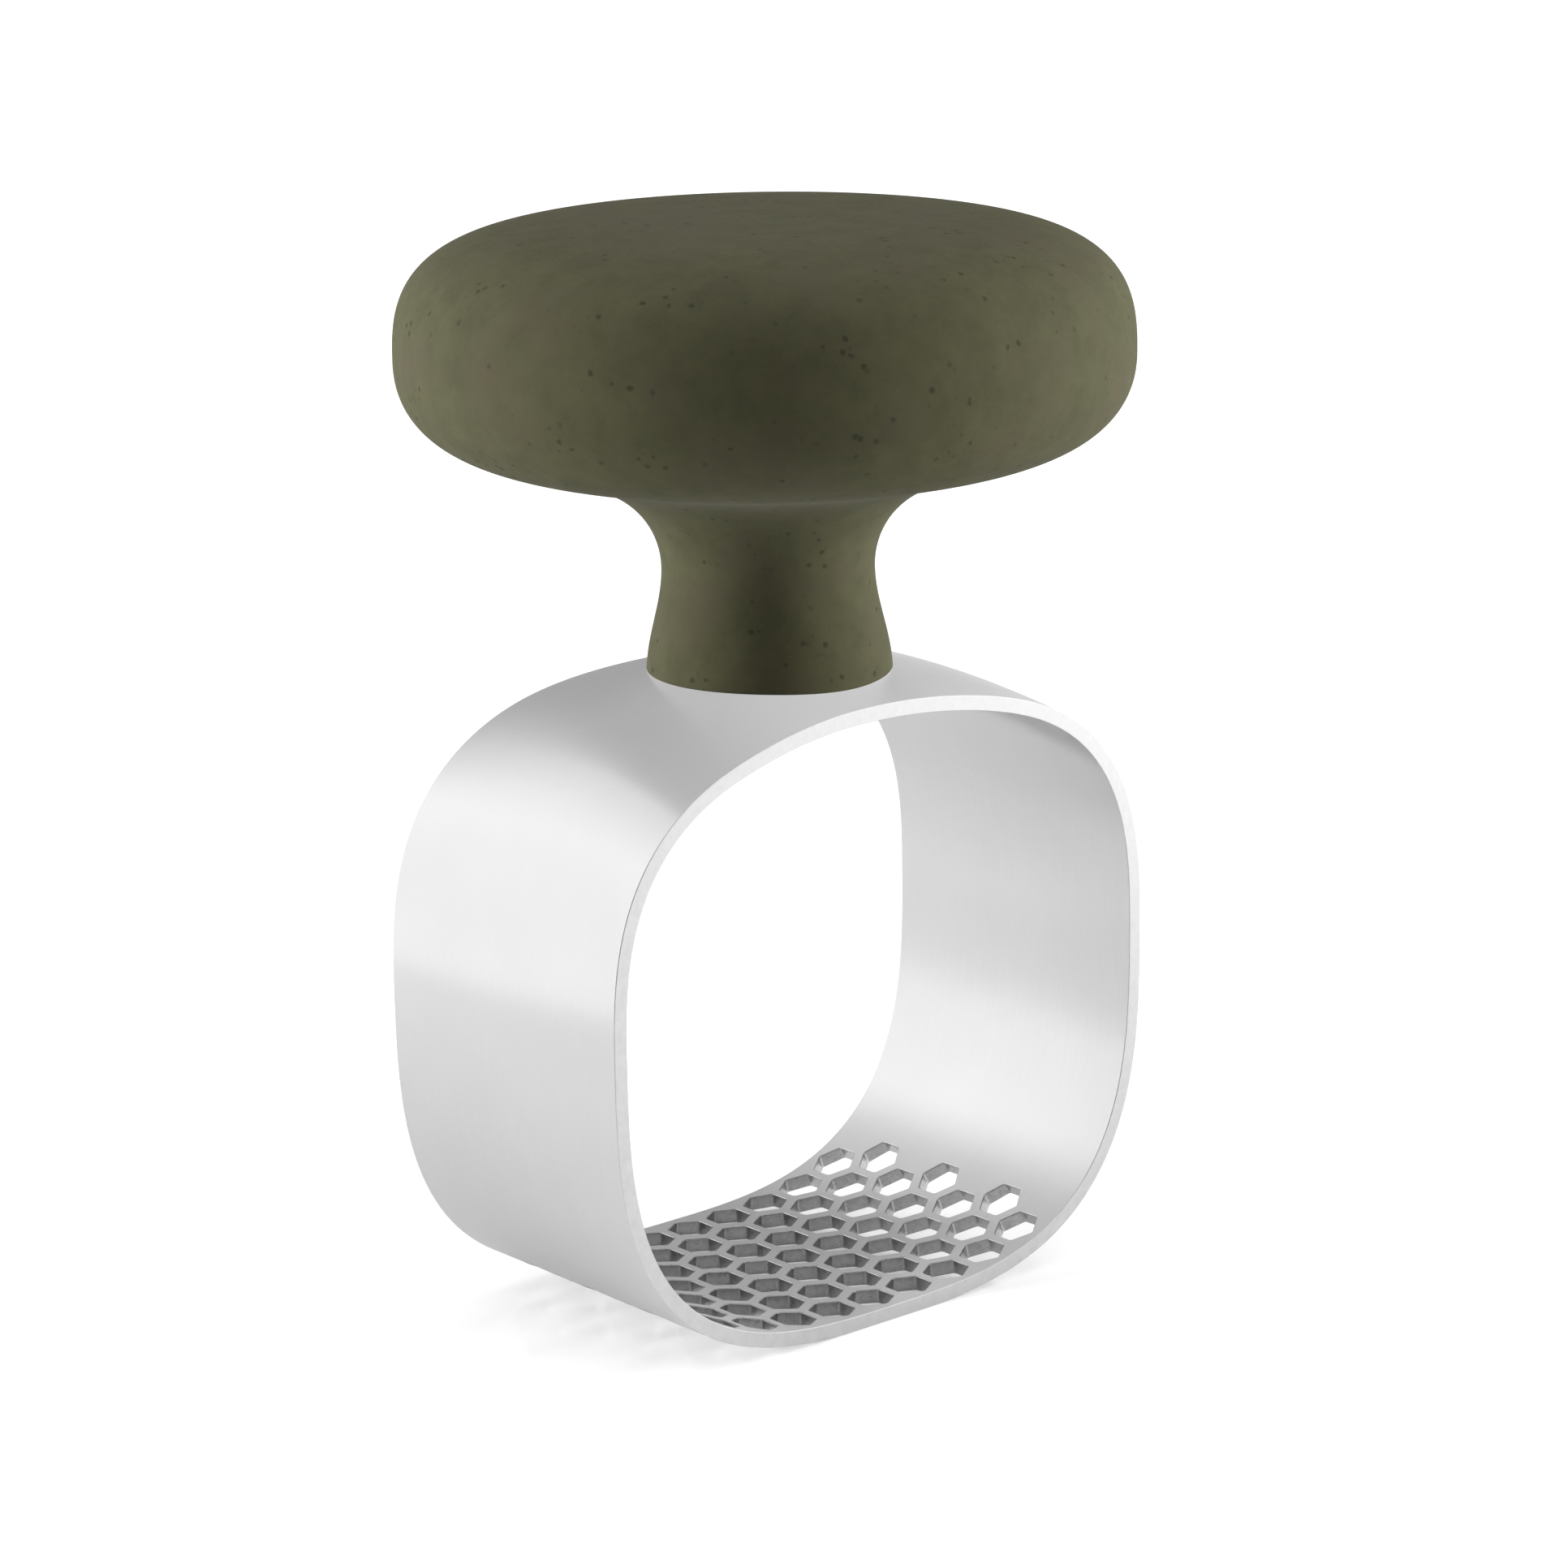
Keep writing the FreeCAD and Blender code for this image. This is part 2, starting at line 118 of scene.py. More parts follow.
HEAD_RADIUS = 3.8 * MM
HEAD_HEIGHT = 2.2 * MM
HEAD_DOME_SHARE = 0.8               # of the head's height that is domed
HEAD_FLAT_SHARE = 0.52              # of the head's radius that is flat underneath
HEAD_EDGE = 0.12 * MM               # small chamfers on the head and round the socket
SOCKET_ACROSS_FLATS = 2.5 * MM
SOCKET_DEPTH = 1.2 * MM
SCREW_X = SCREW_HIGH[0] - HEAD_RADIUS
SCREW_RADIUS = 2.0 * MM
SCREW_CHAMFER = 0.4 * MM            # at the screw's tip
THREAD_PITCH = 0.7 * MM
THREAD_DEPTH = 0.3 * MM
THREAD_CREST_GAP = 0.02 * MM        # keeps the thread's crests just inside the screw's radius
THREAD_START = 0.4 * MM             # from the bearing face
THREAD_RUN_OUT = 1.0 * MM           # left plain at both ends together
WASHER_RADIUS = 4.3 * MM
WASHER_EDGE_ROUNDING = 0.15 * MM

# ---- Finishes ------------------------------------------------------------------------------------
GRAIN_ALONG = 5.0                   # noise cells along the loop, on a circle of radius 1
GRAIN_ACROSS = 9000.0               # and per metre of the strip's width
TURNING_RINGS = 9000.0              # the same per metre of a turned piece's height
OLIVE_DARK = (0.062, 0.061, 0.034, 1.0)
OLIVE_LIGHT = (0.077, 0.075, 0.041, 1.0)
OLIVE_WARM = (0.076, 0.067, 0.043, 1.0)
FLECK_COLOUR = (0.026, 0.025, 0.017, 1.0)
FLECK_RAGGEDNESS = 0.5 * MM         # how far the dark flecks' outlines wander
BRASS_DULL = (0.60, 0.42, 0.16, 1.0)
BRASS_BRIGHT = (0.72, 0.52, 0.22, 1.0)

# ---- Mesh density --------------------------------------------------------------------------------
STATION_STEP = 1.0 * MM             # between sections along the strip
COLUMNS = 26                        # across the strip
PANEL_STEP = 1.4 * MM               # between loose points of the pierced panel
PANEL_BORDER_GAP = 0.8 * PANEL_STEP     # loose points stay this far from the panel's border
PANEL_HOLE_GAP = 0.9 * MM           # and from the holes' corners
INSIDE_ONLY = 1                     # the triangulation's own number for filling the border and no more
MERGE_DISTANCE = 1e-6               # of its points, in millimetres
ROUNDING_STEPS = 4                  # on each rounded edge
LATHE_STEPS = 160                   # round the handle
OUTLINE_STEPS = 26                  # on the foot, on the flare and on the knob's underside
TOP_STEPS = 48                      # over the knob's top
POLE_RADIUS = 2.0 * MM              # of the last ring round the knob's pole
SCREW_STEPS = 72                    # round a screw
HEAD_STEPS = 8                      # over its head's dome
WASHER_STEPS = 64                   # round a washer
SHARP_SCREW_ANGLE = math.radians(30)
SHARP_WASHER_ANGLE = math.radians(35)

# ---- Camera --------------------------------------------------------------------------------------
CAMERA_DISTANCE = 539.1 * MM                # from LOOP_CENTRE
CAMERA_AZIMUTH = math.radians(-40.58)       # from -Y, towards +X
CAMERA_ELEVATION = math.radians(16.77)
CAMERA_ROLL = math.radians(-0.837)
CAMERA_LENS = 110.98                        # millimetres, on a sensor this wide
CAMERA_SENSOR = 36.0
LOOP_CENTRE = Vector((0, 0, 33.64 * MM))
AIM_RIGHT = 1.40 * MM                       # the camera aims this far beside and above LOOP_CENTRE
AIM_UP = 23.0 * MM

# ---- Light ---------------------------------------------------------------------------------------
BACKDROP_LIGHT = 1.3                        # what the camera itself sees behind everything: plain white
TOWARDS_CAMERA = Vector((-0.65, -0.76, 0.0))    # level, from the press
WALL_LIGHTS = (                             # cosine of the angle from TOWARDS_CAMERA, strength there
    (-1.00, 0.30),                          # behind the press
    (-0.60, 1.45),
    (0.00, 2.60),                           # beside it
    (0.45, 0.30),
    (0.80, 0.20),
    (1.00, 0.05))                           # dark room round the camera
CEILING_LIGHT = 1.20
CEILING_START = 0.55                        # the walls give way to it between these sines of elevation
CEILING_END = 0.85
# Painted reflection: a glowing copy of the handle, no lamp, shows the steel a light grey handle
PAINTED_REFLECTION_NECK = 0.78                        # painted reflection: glow of the handle copy that only the steel sees, up to its waist
PAINTED_REFLECTION_KNOB = 0.64                        # and, dimmer, from the knob's widest level up: painted shade under the knob
LAMP_POWER = 14.0                           # watts, each
LAMP_SIZE = 0.5
LAMP_DISTANCE = 1.0
LAMP_TARGET = Vector((0, 0, 0.1))           # the knob

# ---- Floor ---------------------------------------------------------------------------------------
FLOOR_RADIUS = 0.205
FLOOR_RINGS = 8
FLOOR_STEPS = 96                            # round each ring
FLOOR_GAP = 0.02 * MM                       # keeps the table clear of the flat base
FLOOR_FADE = 0.03                           # width of the faded edge
FLOOR_WHITENESS = 0.87
FLOOR_CLOUD = 0.99                          # the duller places, as a share of that
FLOOR_GLOW = 0.31                           # added for the camera only, so that the table stays white


def signed_power(value, power):
    """Power that keeps the sign."""
    return math.copysign(abs(value) ** power, value)


def add_object(name, data):
    """New object in the scene."""
    added = bpy.data.objects.new(name, data)
    bpy.context.scene.collection.objects.link(added)
    return added


# ---- Band: the bent sheet as a surface -----------------------------------------------------------
def section_point(angle, y):
    """Outer section at depth y: angle 0 is the base, pi / 2 is +X. The upper half domes with y."""
    doming = 1.0 - (y / BAND_HALF_DEPTH) ** 2
    upward = -math.cos(angle)
    if upward > 0:
        semi_height = RIM_RISE + CROWN_RISE * doming
        squareness = RIM_SQUARENESS + (CROWN_SQUARENESS - RIM_SQUARENESS) * doming
    else:
        semi_height = WIDEST_HEIGHT + BASE_FLAT_DEPTH
        squareness = LOWER_SQUARENESS
    x = BAND_HALF_WIDTH * signed_power(math.sin(angle), 2 / squareness)
    z = WIDEST_HEIGHT + semi_height * signed_power(upward, 2 / squareness)
    return x, z


def section_direction(angle, y):
    """Unit vector (x, z) along the section, anticlockwise seen from the front."""
    step = 1e-4
    x_before, z_before = section_point(angle - step, y)
    x_after, z_after = section_point(angle + step, y)
    length = math.hypot(x_after - x_before, z_after - z_before)
    return (x_after - x_before) / length, (z_after - z_before) / length


def sheet_point(angle, y, depth):
    """Point of the sheet at a depth below its outer face."""
    x, z = section_point(angle, y)
    along_x, along_z = section_direction(angle, y)
    return Vector((x - depth * along_z, y, max(z + depth * along_x, 0.0)))


def sheet_normal(angle, y):
    """Outward normal of the outer face."""
    step = 0.05 * MM
    along_x, along_z = section_direction(angle, y)
    across = sheet_point(angle, y + step, 0.0) - sheet_point(angle, y - step, 0.0)
    normal = across.cross(Vector((along_x, 0, along_z))).normalized()
    outward = Vector((along_z, 0, -along_x))
    return normal if normal.dot(outward) > 0 else -normal


def rim_y(x, z):
    """Half the strip's width at a place: the crown draws the rims in over the top."""
    if z < WIDEST_HEIGHT:
        return BAND_HALF_DEPTH
    share = min(abs(x) / RIM_DRAW_HALF_WIDTH, 1.0)
    return BAND_HALF_DEPTH - RIM_DRAW_IN * math.cos(0.5 * math.pi * share) ** 2


class StripLine:
    """The middle of the sheet, unrolled: turns a length along the strip into a section angle."""

    STEPS = 4000

    def __init__(self):
        self.lengths = [0.0]
        self.angles = [0.0]
        before = sheet_point(0.0, 0.0, SHEET / 2)
        for index in range(1, self.STEPS + 1):
            angle = 2 * math.pi * index / self.STEPS
            point = sheet_point(angle, 0.0, SHEET / 2)
            self.lengths.append(self.lengths[-1] + (point - before).length)
            self.angles.append(angle)
            before = point
        self.total = self.lengths[-1]

    def angle(self, distance):
        """Section angle at a signed distance along the strip from the middle of the base."""
        wanted = distance % self.total
        low, high = 0, self.STEPS
        while high - low > 1:
            middle = (low + high) // 2
            if self.lengths[middle] <= wanted:
                low = middle
            else:
                high = middle
        span = self.lengths[high] - self.lengths[low]
        share = (wanted - self.lengths[low]) / span if span > 0 else 0.0
        return self.angles[low] + share * (self.angles[high] - self.angles[low])


class MeshParts:
    """Vertices with their normals, and faces, collected for one mesh."""

    def __init__(self):
        self.points = []
        self.normals = []
        self.faces = []
        self.material_starts = [0]

    def add(self, point, normal):
        self.points.append(point)
        self.normals.append(normal.normalized())
        return len(self.points) - 1

    def quad_strip(self, first, second, closed=False):
        """Faces between two rows of vertex numbers of the same length."""
        count = len(first)
        for index in range(count if closed else count - 1):
            after = (index + 1) % count
            self.faces.append((first[index], first[after], second[after], second[index]))

    def next_material(self):
        """Faces added from here on take the next of the materials given to build."""
        self.material_starts.append(len(self.faces))

    def build(self, name, *materials, closed=True):
        """Object made of all the faces. An open one keeps them facing the way they were given."""
        mesh = bpy.data.meshes.new(name)
        mesh.from_pydata(self.points, [], self.faces)
        for material in materials:
            mesh.materials.append(material)
        for material_index, start in enumerate(self.material_starts):
            for face in mesh.polygons[start:]:
                face.material_index = material_index
        if closed:
            tidy = bmesh.new()
            tidy.from_mesh(mesh)
            bmesh.ops.recalc_face_normals(tidy, faces=tidy.faces)
            tidy.to_mesh(mesh)
            tidy.free()
        mesh.shade_smooth()
        mesh.normals_split_custom_set_from_vertices(self.normals)
        return add_object(name, mesh)


def honeycomb_centres():
    """Hole centres on the flat strip: (length along, y across)."""
    centres = []
    for row in range(-ROWS_EACH_SIDE, ROWS_EACH_SIDE + 1):
        holes = HOLES_IN_LONG_ROW - (row % 2)
        for index in range(holes):
            centres.append((HOLE_PITCH * (index - (holes - 1) / 2), row * ROW_PITCH))
    return centres


def rounded_hexagon(grow):
    """Outline of one hole on the flat strip: (along, across, outward along, outward across)."""
    corner_reach = (HOLE_ACROSS_FLATS / 2 - HOLE_CORNER_ROUNDING) * 2 / math.sqrt(3)
    radius = HOLE_CORNER_ROUNDING + grow
    outline = []
    for corner in range(6):
        middle = math.radians(90 + 60 * corner)
        centre_along = corner_reach * math.cos(middle)
        centre_across = corner_reach * math.sin(middle)
        for index in range(ROUNDING_STEPS + 1):
            turn = middle + math.radians(60) * (index / ROUNDING_STEPS - 0.5)
            out_along, out_across = math.cos(turn), math.sin(turn)
            outline.append((centre_along + radius * out_along, centre_across + radius * out_across,
                            out_along, out_across))
    return outline


class Band:
    """Builds the pierced, bent strip as one closed mesh with rounded edges."""

    def __init__(self):
        self.parts = MeshParts()
        self.line = StripLine()
        self.flat_half_width = BAND_HALF_DEPTH - RIM_ROUNDING
        last_hole = HOLE_PITCH * (HOLES_IN_LONG_ROW - 1) / 2 + HOLE_ACROSS_FLATS / 2
        self.panel_half = last_hole + PANEL_MARGIN
        self.panel_steps = 2 * round(self.panel_half / STATION_STEP)
        rest = self.line.total - 2 * self.panel_half
        self.rest_steps = round(rest / STATION_STEP)
        self.stations = []
        for index in range(self.panel_steps + 1):
            self.stations.append(self.panel_half * (2 * index / self.panel_steps - 1))
        for index in range(1, self.rest_steps):
            self.stations.append(self.panel_half + rest * index / self.rest_steps)

    def vertex(self, distance, y, depth, tilt=0.0, side=0.0):
        """Vertex of the sheet. tilt turns its normal from the outer face (0) past the rim to the inner (pi)."""
        angle = self.line.angle(distance)
        outward = sheet_normal(angle, y)
        normal = outward * math.cos(tilt) + Vector((0, side, 0)) * math.sin(tilt)
        return self.parts.add(sheet_point(angle, y, depth), normal)

    def half_width(self, distance, y, depth):
        """Half the strip's width, measured where the given point of the sheet lies."""
        point = sheet_point(self.line.angle(distance), y, depth)
        return rim_y(point.x, point.z)

    def face_row(self, distance, inner, columns):
        """Vertices across the strip at one station, on the outer or the inner face."""
        depth = SHEET if inner else 0.0
        row = []
        for column in columns:
            share = 2 * column / COLUMNS - 1
            half = self.half_width(distance, share * BAND_HALF_DEPTH, depth) - RIM_ROUNDING
            row.append(self.vertex(distance, share * half, depth, math.pi if inner else 0.0))
        return row

    def rim_profile(self):
        """Edge of the strip in section: (distance in from the rim, depth, tilt), outer face to inner face."""
        profile = []
        for index in range(ROUNDING_STEPS + 1):
            tilt = 0.5 * math.pi * index / ROUNDING_STEPS
            profile.append((RIM_ROUNDING * (1 - math.sin(tilt)),
                            RIM_ROUNDING * (1 - math.cos(tilt)), tilt))
        for index in range(ROUNDING_STEPS + 1):
            tilt = 0.5 * math.pi * (1 + index / ROUNDING_STEPS)
            profile.append((RIM_ROUNDING * (1 - math.sin(tilt)),
                            SHEET - RIM_ROUNDING * (1 + math.cos(tilt)), tilt))
        return profile

    def rim_rows(self, side, outer_edge, inner_edge):
        """Rows of vertices along one rim, between the two faces' own edge vertices."""
        rows = [outer_edge]
        for inset, depth, tilt in self.rim_profile()[1:-1]:
            row = []
            for distance in self.stations:
                half = self.half_width(distance, side * BAND_HALF_DEPTH, depth)
                row.append(self.vertex(distance, side * (half - inset), depth, tilt, side))
            rows.append(row)
        rows.append(inner_edge)
        return rows

    def hole_loops(self, centre):
        """Rings of vertices down the wall of one hole, from the outer face to the inner face."""
        rings = []
        soft = HOLE_EDGE_ROUNDING
        outer_face, wall, inner_face = 0.0, 0.5 * math.pi, math.pi
        wall_profile = ((soft, 0.0, outer_face), (0.0, soft, wall),
                        (0.0, SHEET - soft, wall), (soft, SHEET, inner_face))
        for grow, depth, tilt in wall_profile:
            ring = []
            for along, across, out_along, out_across in rounded_hexagon(grow):
                distance = centre[0] + along
                y = centre[1] + across
                angle = self.line.angle(distance)
                along_x, along_z = section_direction(angle, y)
                inwards = Vector((-out_along * along_x, -out_across, -out_along * along_z))
                normal = sheet_normal(angle, y) * math.cos(tilt) + inwards * math.sin(tilt)
                ring.append(self.parts.add(sheet_point(angle, y, depth), normal))
            rings.append(ring)
        return rings

    def panel_border(self, rows):
        """Vertices round the pierced panel on one face, and the same places on the flat strip."""
        start, end = rows[0], rows[self.panel_steps]
        between = rows[1:self.panel_steps]
        border = start + [row[-1] for row in between] + end[::-1] + [row[0] for row in between[::-1]]
        stations = self.stations[1:self.panel_steps]
        across = [self.flat_half_width * (2 * column / COLUMNS - 1) for column in range(COLUMNS + 1)]
        flat = [(-self.panel_half, y) for y in across]
        flat += [(station, self.flat_half_width) for station in stations]
        flat += [(self.panel_half, y) for y in across[::-1]]
        flat += [(station, -self.flat_half_width) for station in stations[::-1]]
        return border, flat

    def panel_fill(self, border, border_flat, hole_rings, centres, inner):
        """Triangles of the pierced panel on one face, between its border and its holes."""
        flat = list(border_flat)
        numbers = list(border)
        edges = [(index, (index + 1) % len(border)) for index in range(len(border))]
        owner = [-1] * len(border)
        outline = rounded_hexagon(HOLE_EDGE_ROUNDING)
        for hole, centre in enumerate(centres):
            start = len(flat)
            for along, across, _, _ in outline:
                flat.append((centre[0] + along, centre[1] + across))
                owner.append(hole)
            numbers.extend(hole_rings[hole])
            for index in range(len(outline)):
                edges.append((start + index, start + (index + 1) % len(outline)))
        for distance, y in self.loose_points(centres):
            flat.append((distance, y))
            owner.append(-1)
            numbers.append(self.vertex(distance, y, SHEET if inner else 0.0, math.pi if inner else 0.0))
        points = [Vector((along * MM_PER_METRE, across * MM_PER_METRE)) for along, across in flat]
        _, _, triangles, sources, _, _ = delaunay_2d_cdt(points, edges, [], INSIDE_ONLY, MERGE_DISTANCE)
        for triangle in triangles:
            corners = [sources[corner][0] for corner in triangle]
            owners = {owner[corner] for corner in corners}
            inside_a_hole = len(owners) == 1 and -1 not in owners
            if not inside_a_hole:
                self.parts.faces.append(tuple(numbers[corner] for corner in corners))

    def loose_points(self, centres):
        """Points inside the panel that are well clear of the holes and of the border."""
        clear = HOLE_ACROSS_FLATS / math.sqrt(3) + PANEL_HOLE_GAP
        along_count = int(self.panel_half / PANEL_STEP)
        across_count = int(BAND_HALF_DEPTH / PANEL_STEP)
        points = []
        for along_index in range(-along_count, along_count + 1):
            for across_index in range(-across_count, across_count + 1):
                place = (along_index * PANEL_STEP, across_index * PANEL_STEP)
                near_border = (abs(place[0]) > self.panel_half - PANEL_BORDER_GAP
                               or abs(place[1]) > self.flat_half_width - PANEL_BORDER_GAP)
                near_hole = any(math.dist(place, centre) < clear for centre in centres)
                if not near_border and not near_hole:
                    points.append(place)
        return points

    def build(self, hole_material, face_material, rim_material):
        """Holes' walls first, then both faces, then the two rims."""
        parts = self.parts
        centres = honeycomb_centres()
        rings = [self.hole_loops(centre) for centre in centres]
        for hole in rings:
            for upper, lower in zip(hole, hole[1:]):
                parts.quad_strip(upper, lower, closed=True)
        parts.next_material()
        edges = {}
        for inner in (False, True):
            rows = []
            for index, distance in enumerate(self.stations):
                inside_panel = 0 < index < self.panel_steps
                columns = (0, COLUMNS) if inside_panel else range(COLUMNS + 1)
                rows.append(self.face_row(distance, inner, columns))
            plain = rows[self.panel_steps:] + rows[:1]
            for first, second in zip(plain, plain[1:]):
                parts.quad_strip(first, second)
            edges[inner] = ([row[0] for row in rows], [row[-1] for row in rows])
            border, border_flat = self.panel_border(rows)
            faces = [hole[-1] if inner else hole[0] for hole in rings]
            self.panel_fill(border, border_flat, faces, centres, inner)
        parts.next_material()
        for end, side in ((0, -1.0), (1, 1.0)):
            rows = self.rim_rows(side, edges[False][end], edges[True][end])
            for first, second in zip(rows, rows[1:]):
                parts.quad_strip(first, second, closed=True)
        return parts.build("press_band_strip", hole_material, face_material, rim_material)


# ---- Handle --------------------------------------------------------------------------------------
def underside_height(radius):
    """Level of the knob's underside at a distance from the axis."""
    share = min(radius / KNOB_RADIUS, 1.0)
    return KNOB_WIDEST_HEIGHT - KNOB_DROP * (1 - share ** KNOB_RIM_POWER) ** (1 / KNOB_UNDERSIDE_POWER)


def waist_height():
    """Level of the thinnest place of the neck."""
    return underside_height(WAIST_RADIUS) - WAIST_DROP


def crown_height(x, y):
    """Level of the band's outer face over a point near the middle of the top."""
    doming = 1.0 - (y / BAND_HALF_DEPTH) ** 2
    semi_height = RIM_RISE + CROWN_RISE * doming
    squareness = RIM_SQUARENESS + (CROWN_SQUARENESS - RIM_SQUARENESS) * doming
    share = 1 - (abs(x) / BAND_HALF_WIDTH) ** squareness
    return WIDEST_HEIGHT + semi_height * share ** (1 / squareness)


def knob_quarter(start_radius, upper, count):
    """Points of the knob's outline from start_radius out to the widest level."""
    semi_height = KNOB_RISE if upper else KNOB_DROP
    power = KNOB_TOP_POWER if upper else KNOB_UNDERSIDE_POWER
    height_share = (1 - (start_radius / KNOB_RADIUS) ** KNOB_RIM_POWER) ** (1 / power)
    start_angle = math.asin(height_share ** (power / 2))
    points = []
    for index in range(count + 1):
        angle = start_angle * (1 - index / count)
        radius = KNOB_RADIUS * math.cos(angle) ** (2 / KNOB_RIM_POWER)
        rise = semi_height * math.sin(angle) ** (2 / power)
        points.append((radius, KNOB_WIDEST_HEIGHT + (rise if upper else -rise)))
    return points


def handle_outline():
    """Outside of the handle from just above its foot edge to the top: (radius, height)."""
    waist = waist_height()
    outline = []
    bottom = FOOT_HEIGHT + FIRST_RING_RISE
    for index in range(OUTLINE_STEPS):
        height = bottom + (waist - bottom) * index / OUTLINE_STEPS
        share = min((waist - height) / (waist - FOOT_HEIGHT), 1.0)
        spread = (FOOT_RADIUS - WAIST_RADIUS) * (1 - math.cos(math.pi * share)) / 2
        outline.append((WAIST_RADIUS + spread, height))
    for index in range(OUTLINE_STEPS + 1):
        share = (index / OUTLINE_STEPS) ** 2
        radius = WAIST_RADIUS + FLARE_WIDTH * share
        outline.append((radius, underside_height(radius) - WAIST_DROP * (1 - share ** FLARE_POWER) ** 2))
    outline += knob_quarter(outline[-1][0], False, OUTLINE_STEPS)[1:]
    upper = knob_quarter(POLE_RADIUS, True, TOP_STEPS)
    outline += upper[::-1][1:]
    return outline


def outline_normals(outline):
    """Outward normals (radial, upward) along an outline that runs upwards."""
    normals = []
    last = len(outline) - 1
    for index in range(len(outline)):
        before = outline[max(index - 1, 0)]
        after = outline[min(index + 1, last)]
        step_radius, step_height = after[0] - before[0], after[1] - before[1]
        length = math.hypot(step_radius, step_height)
        normals.append((step_height / length, -step_radius / length))
    return normals


def foot_ring(parts, radius, above_crown, lean):
    """Ring of vertices that follows the crown. lean turns its normals from outward (0) down (pi / 2)."""
    ring = []
    for index in range(LATHE_STEPS):
        turn = 2 * math.pi * index / LATHE_STEPS
        out = Vector((math.cos(turn), math.sin(turn), 0))
        point = out * radius
        point.z = crown_height(point.x, point.y) + above_crown
        ring.append(parts.add(point, out * math.cos(lean) - Vector((0, 0, 1)) * math.sin(lean)))
    return ring


def lathe_ring(parts, radius, height, normal):
    """Level ring of vertices. normal is (radial, upward)."""
    ring = []
    for index in range(LATHE_STEPS):
        turn = 2 * math.pi * index / LATHE_STEPS
        out = Vector((math.cos(turn), math.sin(turn), 0))
        point = out * radius + Vector((0, 0, height))
        ring.append(parts.add(point, out * normal[0] + Vector((0, 0, normal[1]))))
    return ring


def close_over_pole(parts, ring, height, upward):
    """Fan of faces from a ring to a point on the axis."""
    pole = parts.add(Vector((0, 0, height)), Vector((0, 0, upward)))
    for index in range(LATHE_STEPS):
        parts.faces.append((ring[index], ring[(index + 1) % LATHE_STEPS], pole))


def handle_skin(material):
    """Outer moulding: closed over the top, open underneath, seated on the crown."""
    parts = MeshParts()
    rings = [foot_ring(parts, FOOT_RADIUS - SKIN_THICKNESS, 0.0, 0.5 * math.pi)]
    for index in range(ROUNDING_STEPS + 1):
        lean = 0.5 * math.pi * (1 - index / ROUNDING_STEPS)
        radius = FOOT_RADIUS - FOOT_EDGE_ROUNDING * (1 - math.cos(lean))
        rings.append(foot_ring(parts, radius, FOOT_EDGE_ROUNDING * (1 - math.sin(lean)), lean))
    outline = handle_outline()
    for (radius, height), normal in zip(outline, outline_normals(outline)):
        rings.append(lathe_ring(parts, radius, height, normal))
    for first, second in zip(rings, rings[1:]):
        parts.quad_strip(first, second, closed=True)
    top = KNOB_WIDEST_HEIGHT + KNOB_RISE
    close_over_pole(parts, rings[-1], top, 1.0)
    inside = inner_rings(parts)
    parts.quad_strip(rings[0], inside[0], closed=True)
    for first, second in zip(inside, inside[1:]):
        parts.quad_strip(first, second, closed=True)
    close_over_pole(parts, inside[-1], top - SKIN_THICKNESS, -1.0)
    return parts.build("handle_skin", material)


def inner_rings(parts):
    """Inside of the skin, one skin thickness in from its outside."""
    outline = handle_outline()
    rings = []
    for (radius, height), normal in list(zip(outline, outline_normals(outline)))[::2]:
        inner_radius = radius - SKIN_THICKNESS * normal[0]
        inner_height = height - SKIN_THICKNESS * normal[1]
        rings.append(lathe_ring(parts, inner_radius, inner_height, (-normal[0], -normal[1])))
    return rings


# ---- Fastening -----------------------------------------------------------------------------------
def body_from_rings(name, rings, material, sharp_angle, hollow=False):
    """Body whose skin runs from ring to ring. A hollow one goes on from the last ring to the first, and any
    other is capped at both ends."""
    mesh = bpy.data.meshes.new(name)
    body = bmesh.new()
    rows = [[body.verts.new(point) for point in ring] for ring in rings]
    following = rows[1:] + rows[:1] if hollow else rows[1:]
    for first, second in zip(rows, following):
        for index in range(len(first)):
            after = (index + 1) % len(first)
            body.faces.new((first[index], first[after], second[after], second[index]))
    if not hollow:
        body.faces.new(rows[0])
        body.faces.new(rows[-1])
    bmesh.ops.recalc_face_normals(body, faces=body.faces)
    body.to_mesh(mesh)
    body.free()
    mesh.shade_smooth()
    mesh.set_sharp_from_angle(angle=sharp_angle)
    mesh.materials.append(material)
    return add_object(name, mesh)


def screw_ring(x, radius, height):
    """Round ring of points about a screw's axis."""
    ring = []
    for index in range(SCREW_STEPS):
        turn = 2 * math.pi * index / SCREW_STEPS
        ring.append((x + radius * math.cos(turn), radius * math.sin(turn), height))
    return ring


def socket_ring(x, grow, height):
    """Hexagonal ring of points about a screw's axis."""
    ring = []
    sixth = math.pi / 3
    for index in range(SCREW_STEPS):
        turn = 2 * math.pi * index / SCREW_STEPS
        radius = grow + SOCKET_ACROSS_FLATS / 2 / math.cos((turn + sixth / 2) % sixth - sixth / 2)
        ring.append((x + radius * math.cos(turn), radius * math.sin(turn), height))
    return ring


